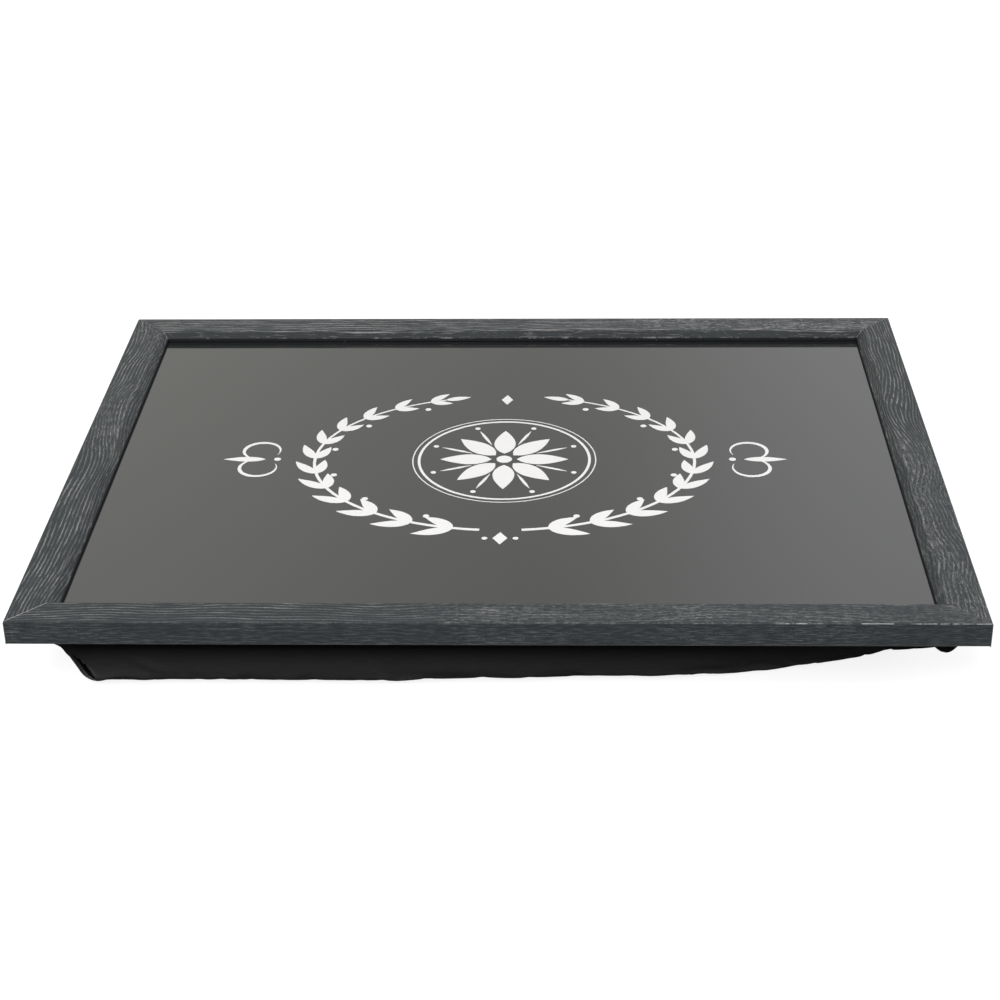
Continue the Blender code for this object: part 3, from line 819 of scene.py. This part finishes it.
def raise_fold(points):
    """A soft fold stands out from the bag's front, near its left corner."""
    start, end = FOLD_ENDS
    run = (end - start).normalized()
    reach_x, reach_z = points[:, 0] - start.x, points[:, 2] - start.y
    along = (reach_x * run.x + reach_z * run.y) / (end - start).length
    across = (reach_x * run.y - reach_z * run.x) / FOLD_HALF_WIDTH
    swell = hump(np.clip(abs(across), 0, 1)) * hump(np.clip(abs(2 * along - 1), 0, 1))
    front = points[:, 1] < 0
    return points - np.array((0, FOLD_HEIGHT, 0)) * (swell * front)[:, None]


def hang_ear(points):
    """Slack cloth hangs below the flange at the right front corner, with a shallow tail along the front."""
    low, high = EAR_HEIGHTS
    under = smooth_step(points[:, 2], FLANGE_UNDER * low, FLANGE_UNDER * high)
    under = under * (points[:, 2] < FLANGE_UNDER + 0.0003)
    drop = np.zeros(len(points))
    for place, reach, depth, flatness in (EAR, EAR_TAIL):
        across = (points[:, 0] - place.x) / reach.x
        along = (points[:, 1] - place.y) / reach.y
        drop = np.maximum(drop, depth * hump(np.hypot(across, along), flatness))
    return points - np.array((0, 0, 1)) * (drop * under)[:, None]


def make_cushion(material):
    """The bead-filled bag: its side settles as cloth, then it is shaped where it is slack or folded."""
    points, faces, first, last = cushion_skin()
    points = settle(points, faces, first, last)
    points, slit, rim = make_pleat(raise_fold(bend_cloth(hang_ear(points))))
    points[:, 2] = np.maximum(points[:, 2], 0.0)
    cushion = new_piece("bead_cushion", points, faces, material)
    lay_out_cloth(cushion)
    # The slit's share paints shade into the cloth, and the rim's share paints a highlight on it.
    for name, share in ((SLIT_SHADE_MARK, slit), (RIM_HIGHLIGHT_MARK, rim)):
        cushion.data.attributes.new(name, "FLOAT", "POINT").data.foreach_set("value", share)
    return cushion


# Ornament: a wreath of leaves round a rosette, as a thin print on the panel
PRINT_LIFT = 0.00003
PRINT_THICKNESS = 0.00008
PRINT_RISE = 0.000006
PRINT_LAYERS = 5
WREATH_RADII = Vector((0.098, 0.076))
WREATH_START = math.radians(-84)
WREATH_END = math.radians(70)
STEM_WIDTH = 0.0021
LEAVES = 12
LEAF_STEPS = 12
LEAF_LENGTH = 0.0215
LEAF_WIDTH = 0.0066
LEAF_SHORTER = 0.0075
LEAF_NARROWER = 0.0020
LEAF_PAIR = ((-0.62, 1.0), (0.62, 0.86))
LEAF_CURL = 0.55
BERRY_ASIDE = 0.0085
BERRY_BACK = 0.0040
BERRY_RADIUS = 0.0016
PETALS = 8
PETAL = (0.0265, 0.0112)
PETAL_FOOT = 0.0065
RAY_RADII = (0.018, 0.024, 0.030, 0.035)
RAY_DOT = (0.0388, 0.0014)
ROSETTE_RINGS = ((0.0440, 0.0014), (0.0472, 0.0006))
SCROLL_MIDDLE = Vector((0.1265, 0.0095))
SCROLL_END = math.pi * 1.15
DISC_STEPS = 10
RING_STEPS = 72
LEAST_WIDTH = 0.00006


def on_wreath(angle):
    return Vector((WREATH_RADII.x * math.cos(angle), WREATH_RADII.y * math.sin(angle)))


def direction(angle):
    return Vector((math.cos(angle), math.sin(angle)))


def arc_points(centre, radius, start, end, steps):
    return [centre + direction(start + (end - start) * step / steps) * radius for step in range(steps + 1)]


class Print:
    """Flat strokes of ink, gathered as one thin solid mesh. Those that cross differ a little in height."""

    def __init__(self):
        self.points = []
        self.faces = []
        self.strokes = 0

    def stroke(self, places, widths, closed=False):
        """Ink along a line of places, with a width at each, as a closed strip of the print's thickness."""
        first = len(self.points)
        last = len(places) - 1
        low = PANEL_TOP + PRINT_LIFT
        high = low + PRINT_THICKNESS + PRINT_RISE * (self.strokes % PRINT_LAYERS)
        self.strokes += 1
        for number, (place, width) in enumerate(zip(places, widths)):
            before = places[number - 1] if number or closed else place
            after = places[(number + 1) % len(places)] if number < last or closed else place
            side = (after - before).orthogonal().normalized() * max(width, LEAST_WIDTH) / 2
            left, right = place + side, place - side
            self.points += [(*right, low), (*left, low), (*left, high), (*right, high)]
        ring = np.arange(4)
        for number in range(last + closed):
            self.faces += band(first + 4 * number + ring, first + 4 * ((number + 1) % len(places)) + ring)
        if not closed:
            self.faces.append((first + 3, first + 2, first + 1, first))
            end = first + 4 * last
            self.faces.append((end, end + 1, end + 2, end + 3))

    def leaf(self, foot, angle, length, width, curl=0.0):
        """A pointed leaf that grows from its foot, widest a little before its middle."""
        places, widths, place = [], [], foot.copy()
        for step in range(LEAF_STEPS + 1):
            share = step / LEAF_STEPS
            places.append(place.copy())
            widths.append(width * math.sin(math.pi * share**0.8) ** 0.9 if 0 < share < 1 else 0)
            place += direction(angle + curl * share) * length / LEAF_STEPS
        self.stroke(places, widths)

    def disc(self, centre, radius):
        shares = [math.cos(math.pi * step / DISC_STEPS) for step in range(DISC_STEPS + 1)]
        places = [centre + Vector((-radius * share, 0)) for share in shares]
        self.stroke(places, [2 * radius * math.sqrt(max(1 - share * share, 0)) for share in shares])

    def ring(self, centre, radius, width):
        places = arc_points(centre, radius, 0, 2 * math.pi, RING_STEPS)[:-1]
        self.stroke(places, [width] * len(places), closed=True)

    def tapered(self, places, width):
        """A line that swells towards its middle."""
        last = len(places) - 1
        self.stroke(places, [width * (0.12 + 0.88 * math.sin(math.pi * n / last)) for n in range(last + 1)])


def wreath_heading(angle):
    """The way that the right stem goes on at an angle."""
    ahead = on_wreath(angle + 0.02) - on_wreath(angle)
    return math.atan2(ahead.y, ahead.x)


def draw_wreath(ink):
    """Two stems that grow up from the foot, each with pairs of leaves, berries and a leaf at its tip."""
    steps = 40
    for side in (-1, 1):
        flip = Vector((side, 1))
        angles = [WREATH_START + (WREATH_END - WREATH_START) * step / steps for step in range(steps + 1)]
        stem = [STEM_WIDTH * (1 - 0.5 * step / steps) for step in range(steps + 1)]
        ink.stroke([on_wreath(angle) * flip for angle in angles], stem)
        for number in range(LEAVES):
            share = (number + 0.6) / LEAVES
            angle = WREATH_START + (WREATH_END - WREATH_START) * share
            foot, heading = on_wreath(angle), wreath_heading(angle)
            length = LEAF_LENGTH - LEAF_SHORTER * share
            width = LEAF_WIDTH - LEAF_NARROWER * share
            for turn, reach in LEAF_PAIR:
                lean = heading + turn
                mirrored = lean if side > 0 else math.pi - lean
                ink.leaf(foot * flip, mirrored, length * reach, width, -turn * LEAF_CURL * side)
            if number % 2:
                aside = direction(heading + math.pi / 2) * BERRY_ASIDE
                ink.disc((foot + aside - direction(heading) * BERRY_BACK) * flip, BERRY_RADIUS)
        heading = wreath_heading(WREATH_END)
        ink.leaf(on_wreath(WREATH_END) * flip, heading if side > 0 else math.pi - heading, 0.014, 0.0046)


def draw_rosette(ink):
    """Petals with rays between them, in two rings."""
    middle = Vector((0, 0))
    for number in range(PETALS):
        angle = 2 * math.pi * number / PETALS
        ink.leaf(direction(angle) * PETAL_FOOT, angle, *PETAL)
        between = angle + math.pi / PETALS
        ink.tapered([direction(between) * radius for radius in RAY_RADII], 0.0018)
        ink.disc(direction(between) * RAY_DOT[0], RAY_DOT[1])
    ink.disc(middle, 0.0040)
    for radius, width in ROSETTE_RINGS:
        ink.ring(middle, radius, width)


def draw_scrolls(ink):
    """A scroll with a bud at each side of the wreath, and a diamond at its top and at its foot."""
    radius = SCROLL_MIDDLE.y
    for side in (-1, 1):
        flip = Vector((side, 1))
        for up in (-1, 1):
            centre = Vector((SCROLL_MIDDLE.x, radius * up))
            curve = arc_points(centre, radius, math.pi / 2 * -up, SCROLL_END * up, 22)
            ink.tapered([place * flip for place in curve], 0.0021)
        ink.leaf(Vector((0.1235, 0)) * flip, 0 if side > 0 else math.pi, 0.022, 0.0052)
        ink.disc(Vector((0.1175, 0)) * flip, 0.0018)
    for ends, width in (((0.0655, 0.0715, 0.0775), 0.0062), ((-0.0900, -0.0840, -0.0780), 0.0072)):
        ink.stroke([Vector((0, y)) for y in ends], [0, width, 0])
    for side in (-1, 1):
        ink.disc(Vector((0.0075 * side, -0.0840)), 0.0014)


def make_ornament(material):
    ink = Print()
    draw_wreath(ink)
    draw_rosette(ink)
    draw_scrolls(ink)
    ornament = new_piece("panel_ornament", ink.points, ink.faces, material)
    ornament.data.shade_flat()


# The filler in each mitre, a little below the rails' faces and clear of the nails in the joint
MITRE_THICKNESS = 0.00026
MITRE_SINK = 0.00004
MITRE_ARRIS = 0.0008
MITRE_HEEL = 0.0033
MITRE_SHOULDER = 0.14
MITRE_LOW = FRAME_TOP - LIP_DROP


def make_mitre(name, side_x, side_y, material):
    """A thin plate on the diagonal between two rails, with the outline of the rails' upper part."""
    low, top = FRAME_BASE + MITRE_SINK, FRAME_TOP - MITRE_SINK
    section = (
        (MITRE_SINK, low),
        (MITRE_HEEL, low),
        (MITRE_HEEL, MITRE_LOW),
        (LIP_END - 2 * MITRE_SINK, MITRE_LOW),
        (RAIL_FLAT + LIP_RUN * MITRE_SHOULDER, top - LIP_DROP * MITRE_SHOULDER),
        (RAIL_FLAT - LIP_RUN * MITRE_SHOULDER, top),
        (MITRE_ARRIS, top),
        (MITRE_SINK, FRAME_TOP - MITRE_ARRIS),
    )
    aside = Vector((side_x, -side_y, 0)).normalized() * MITRE_THICKNESS / 2
    points = []
    for step in (-1, 1):
        for inset, height in section:
            middle = Vector(((TRAY_HALF.x - inset) * side_x, (TRAY_HALF.y - inset) * side_y, height))
            points.append(middle + step * aside)
    count = len(section)
    faces = [tuple(range(count)), tuple(range(2 * count - 1, count - 1, -1))]
    faces += [(n, n + count, (n + 1) % count + count, (n + 1) % count) for n in range(count)]
    plate = new_piece(name, points, faces, material)
    plate.data.shade_flat()


def make_mitres():
    pale = mitre_finish("mitre_pale", 1.0, 0.6)
    dark = mitre_finish("mitre_dark", 0.12, 0.12)
    half_pale = mitre_finish("mitre_half_pale", 0.3, 0.8)
    for end, side_y in (("front", -1), ("back", 1)):
        for side, side_x in (("left", -1), ("right", 1)):
            material = half_pale if end == "back" else pale if side == "left" else dark
            make_mitre(f"mitre_glue_{end}_{side}", side_x, side_y, material)


# Stitches that hem the bag's flange, on its underside
STITCH_LENGTH = 0.0028
STITCH_PITCH = 0.0040
STITCH_RADIUS = 0.00022
HEM_INSET = FLANGE_INSET + 0.0014
STITCH_SIDES = 6
STITCH_STATIONS = ((-0.5, 0.15), (-0.36, 0.9), (0.0, 1.0), (0.36, 0.9), (0.5, 0.15))
FREE_OF_STITCHES = 0.012


def make_stitches(material):
    """A row of short thread ends round the hem, each a small tube with tapered ends."""
    half = TRAY_HALF - Vector((HEM_INSET, HEM_INSET))
    points, faces = [], []
    for heading in (Vector((1, 0)), Vector((0, 1)), Vector((-1, 0)), Vector((0, -1))):
        side = Vector((-heading.y, heading.x))
        middle = side * -abs(side.dot(half))
        reach = abs(heading.dot(half))
        count = int((2 * reach - FREE_OF_STITCHES) / STITCH_PITCH)
        for number in range(count):
            centre = middle + heading * (number - (count - 1) / 2) * STITCH_PITCH
            first = len(points)
            for share, width in STITCH_STATIONS:
                spot = centre + heading * share * STITCH_LENGTH
                for turn in range(STITCH_SIDES):
                    angle = 2 * math.pi * turn / STITCH_SIDES
                    out = spot + side * math.cos(angle) * STITCH_RADIUS * width
                    points.append((*out, FLANGE_UNDER + math.sin(angle) * STITCH_RADIUS * width))
            for start in range(first, len(points) - STITCH_SIDES, STITCH_SIDES):
                ring = start + np.arange(STITCH_SIDES)
                faces += band(ring, ring + STITCH_SIDES)
    new_piece("hem_stitches", points, faces, material)


def make_liner(material):
    """The cloth that closes the bag at the top, pulled flat between the flange and the frame."""
    spots = filled(FLANGE_INSET, FLANGE_CORNER).reshape(-1, 2)
    points = np.column_stack([spots, np.full(len(spots), LINER_HIGH.z)])
    liner = new_piece("top_liner", points, grid_faces(COLUMNS, ROWS)[0], material)
    thickness = liner.modifiers.new("cloth", "SOLIDIFY")
    thickness.thickness = LINER_HIGH.z - LINER_LOW.z
    thickness.offset = 1
    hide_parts("cushion_liner")


def make_camera():
    """The camera, as fitted to the frame's corners and edges in the photograph."""
    forward = Vector((
        math.sin(CAMERA_YAW) * math.cos(CAMERA_PITCH),
        math.cos(CAMERA_YAW) * math.cos(CAMERA_PITCH),
        -math.sin(CAMERA_PITCH),
    ))
    level = Vector((math.cos(CAMERA_YAW), -math.sin(CAMERA_YAW), 0))
    above = level.cross(forward)
    right = math.cos(CAMERA_ROLL) * level + math.sin(CAMERA_ROLL) * above
    up = math.cos(CAMERA_ROLL) * above - math.sin(CAMERA_ROLL) * level
    data = bpy.data.cameras.new("photo_camera")
    data.lens = FOCAL_LENGTH_MM
    data.sensor_width = SENSOR_MM
    camera = add_object("photo_camera", data)
    turn = Matrix((right, up, -forward)).transposed().to_4x4()
    camera.matrix_world = Matrix.Translation(CAMERA_PLACE) @ turn
    bpy.context.scene.camera = camera


# The floor: half its size, how far it lies below the tray, its own light, and its colours seen and unseen
FLOOR_REACH = 6.0
FLOOR_BELOW = 0.0002
FLOOR_GLOW = 0.87
FLOOR_SEEN = (0.27, 0.27, 0.27)
FLOOR_COLOUR = (0.16, 0.16, 0.16)


def make_floor():
    """A floor that looks white with a soft shade on it, and throws little light back on the tray."""
    material = bpy.data.materials.new("pale_floor")
    material.use_nodes = True
    material.node_tree.nodes.clear()
    tree = Tree(material.node_tree)
    path = tree.add("ShaderNodeLightPath").outputs
    seen_ray = tree.math("MAXIMUM", path["Is Camera Ray"], path["Is Glossy Ray"])
    seen_ray = tree.math("MAXIMUM", seen_ray, path["Is Transmission Ray"])
    glow = tree.out("ShaderNodeEmission", {"Strength": FLOOR_GLOW})
    seen = tree.out("ShaderNodeBsdfDiffuse", {"Color": FLOOR_SEEN})
    plain = tree.out("ShaderNodeBsdfDiffuse", {"Color": FLOOR_COLOUR})
    total = tree.out("ShaderNodeAddShader", {0: glow, 1: seen})
    choice = tree.out("ShaderNodeMixShader", {0: seen_ray, 1: plain, 2: total})
    tree.add("ShaderNodeOutputMaterial", {"Surface": choice})
    bpy.ops.mesh.primitive_plane_add(size=2 * FLOOR_REACH, location=(0, 0, -FLOOR_BELOW))
    floor = bpy.context.object
    floor.name = "floor"
    floor.data.materials.append(material)


# The strength of the world as a light, and its colour where it is warm
WORLD_LIGHT = 0.09
WARM_WHITE = (1.0, 0.995, 0.945)

# The world's strength in mirrors: plain, more of it by bearing at the left and right, and a factor by height,
# and how warm it is by bearing. Each row has a range and what it gives at both ends.
MIRROR_PLAIN = 0.79
MIRROR_LEFT = (-0.30, 0.02, 0.26, 0.0)
MIRROR_RIGHT = (-0.03, 0.20, 0.0, 0.42)
MIRROR_HEIGHT = (0.36, 0.55, 0.94, 1.01)
MIRROR_WARM = (-0.05, 0.15, 1.0, 0.0)


def make_world():
    """White to be seen, soft boxes to the sides in mirrors, and a softer white to light by."""
    world = bpy.data.worlds.new("studio")
    bpy.context.scene.world = world
    world.use_nodes = True
    sky = Tree(world.node_tree)
    x, y, z = sky.xyz(sky.add("ShaderNodeTexCoord").outputs["Generated"])
    bearing = sky.math("DIVIDE", x, sky.math("SQRT", sky.plus(sky.times(x, x), sky.times(y, y))))
    box = sky.plus(sky.fit(bearing, *MIRROR_LEFT), sky.fit(bearing, *MIRROR_RIGHT))
    box = sky.times(sky.plus(box, MIRROR_PLAIN), sky.fit(z, *MIRROR_HEIGHT))
    path = sky.add("ShaderNodeLightPath").outputs
    strength = sky.mix(path["Is Glossy Ray"], WORLD_LIGHT, box)
    seen = sky.math("MAXIMUM", path["Is Camera Ray"], path["Is Transmission Ray"])
    strength = sky.mix(seen, strength, 1.0)
    warm = sky.times(sky.fit(bearing, *MIRROR_WARM), path["Is Glossy Ray"])
    background = world.node_tree.nodes["Background"]
    sky.feed(background.inputs["Color"], sky.blend(warm, (1, 1, 1), WARM_WHITE))
    sky.feed(background.inputs["Strength"], strength)


# Lamps: name, place, size and power
LAMPS = (
    ("front_lamp", (-0.25, -1.45, 1.47), 0.8, 37.0),
    ("left_lamp", (-1.2, -0.1, 1.5), 1.0, 7.0),
    ("right_lamp", (1.25, -0.1, 1.5), 1.0, 7.0),
    ("back_lamp", (0.2, 1.0, 1.75), 1.0, 8.0),
)


def make_lamps():
    for name, place, size, power in LAMPS:
        data = bpy.data.lights.new(name, "AREA")
        data.shape = "SQUARE"
        data.size = size
        data.energy = power
        lamp = add_object(name, data)
        lamp.location = place
        lamp.rotation_mode = "QUATERNION"
        lamp.rotation_quaternion = Vector(place).to_track_quat("Z", "Y")


def dress(node, material):
    """Gives a CAD node its finish."""
    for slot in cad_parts[node].material_slots:
        slot.material = material


# Each rail's emboss starts at its own place in the noises
FIRST_SEED = 3.7
SEED_STEP = 5.3


def main():
    bpy.context.scene.view_settings.view_transform = "Standard"
    for number, side in enumerate(SIDES):
        dress(f"{side}_rail", RailFinish(side, FIRST_SEED + SEED_STEP * number).material)
    dress("decor_sheet", panel_finish())
    dress("tray_board", fibre_finish())
    steel = steel_finish()
    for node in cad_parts:
        if node.startswith(("vnail_", "point_", "staple_")):
            dress(node, steel)
    cushion = make_cushion(cloth_finish("black_weave", tone=28, thread=0.00045, depth=0.00008))
    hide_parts("cushion_cover", "bead_filling")
    make_liner(cloth_finish("liner_weave", tone=36, thread=0.0006, depth=0.00005))
    make_stitches(thread_finish())
    make_mitres()
    make_ornament(print_finish())
    make_camera()
    make_floor()
    make_world()
    make_lamps()


main()
